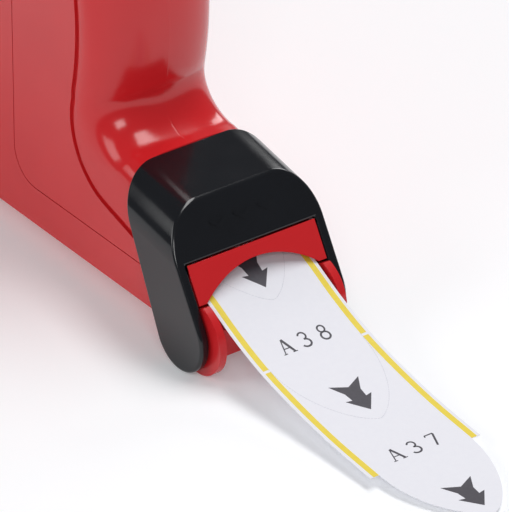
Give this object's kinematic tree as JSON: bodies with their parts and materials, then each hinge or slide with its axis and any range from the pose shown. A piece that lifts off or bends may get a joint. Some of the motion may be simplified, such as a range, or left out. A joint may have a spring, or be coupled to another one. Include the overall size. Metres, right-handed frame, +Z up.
{
  "type": "queue ticket dispenser",
  "caption": "Hand-pull queue ticket dispenser: round drum housing with a hinged front cover, nozzle, black hood and a strip of numbered tickets.",
  "frame": {"origin": "on the surface it stands on, at the middle of the object's box", "axes": "+Z up; -Y is the front, where the ticket strip comes out; X across"},
  "size_m": [0.0492, 0.3458, 0.1815],
  "materials": {
    "red_plastic": "glossy moulded plastic",
    "black_plastic": "glossy moulded plastic",
    "grey_plastic": "satin acetal",
    "steel": "plain turned steel",
    "spring_steel": "rolled spring strip",
    "zinc_plate": "zinc-plated sheet",
    "rubber": "moulded rubber",
    "cardboard": "wound grey-brown board",
    "roll_paper": "edges of wound paper",
    "ticket_paper": "smooth white paper with yellow side lines and dark print"
  },
  "bodies": {
    "housing": {"rear_housing": "red_plastic", "mouth_cradle": "red_plastic", "hinge_pin": "steel", "roll_spindle": "grey_plastic", "spindle_cap": "grey_plastic", "paper_web": "ticket_paper", "guide_shaft": "steel", "cradle_screw_left": "steel", "cradle_screw_right": "steel", "rubber_foot_left": "rubber", "rubber_foot_right": "rubber", "wall_plate": "zinc_plate", "wall_plate_screw_lower": "steel", "wall_plate_screw_upper": "steel"},
    "cover": {"front_cover": "red_plastic", "hood": "black_plastic", "mouth_lip": "red_plastic", "pressure_spring": "spring_steel", "pressure_spring_screw": "steel", "hood_screw_left": "steel", "hood_screw_right": "steel", "lip_screw_left": "steel", "lip_screw_right": "steel"},
    "roll": {"core_hub": "grey_plastic", "roll_core": "cardboard", "paper_roll": "roll_paper"},
    "roller": {"guide_roller": "grey_plastic"},
    "strip": {"ticket_strip": "ticket_paper"}
  },
  "joints": [
    {"name": "cover_hinge", "type": "hinge", "parent": "housing", "child": "cover", "pos_m": [0, 0.01865, 0.16488], "axis": [-1, 0, 0], "range_deg": [0, 70]},
    {"name": "roll_spin", "type": "hinge", "parent": "housing", "child": "roll", "pos_m": [0, 0.07415, 0.0805], "axis": [-1, 0, 0], "range_deg": [0, 49.39]},
    {"name": "roller_spin", "type": "hinge", "parent": "housing", "child": "roller", "pos_m": [0, -0.0367, 0.0302], "axis": [1, 0, 0], "range_deg": [-1, 573.96]},
    {"name": "ticket_feed", "type": "hinge", "parent": "housing", "child": "strip", "pos_m": [0, -0.16942, 0.2667], "axis": [-1, 0, 0], "range_deg": [0, 11.01]}
  ],
  "couplings": [
    {"joint": "roller_spin", "follows": "roll_spin", "ratio": 11.6},
    {"joint": "ticket_feed", "follows": "roll_spin", "ratio": 0.21887}
  ]
}
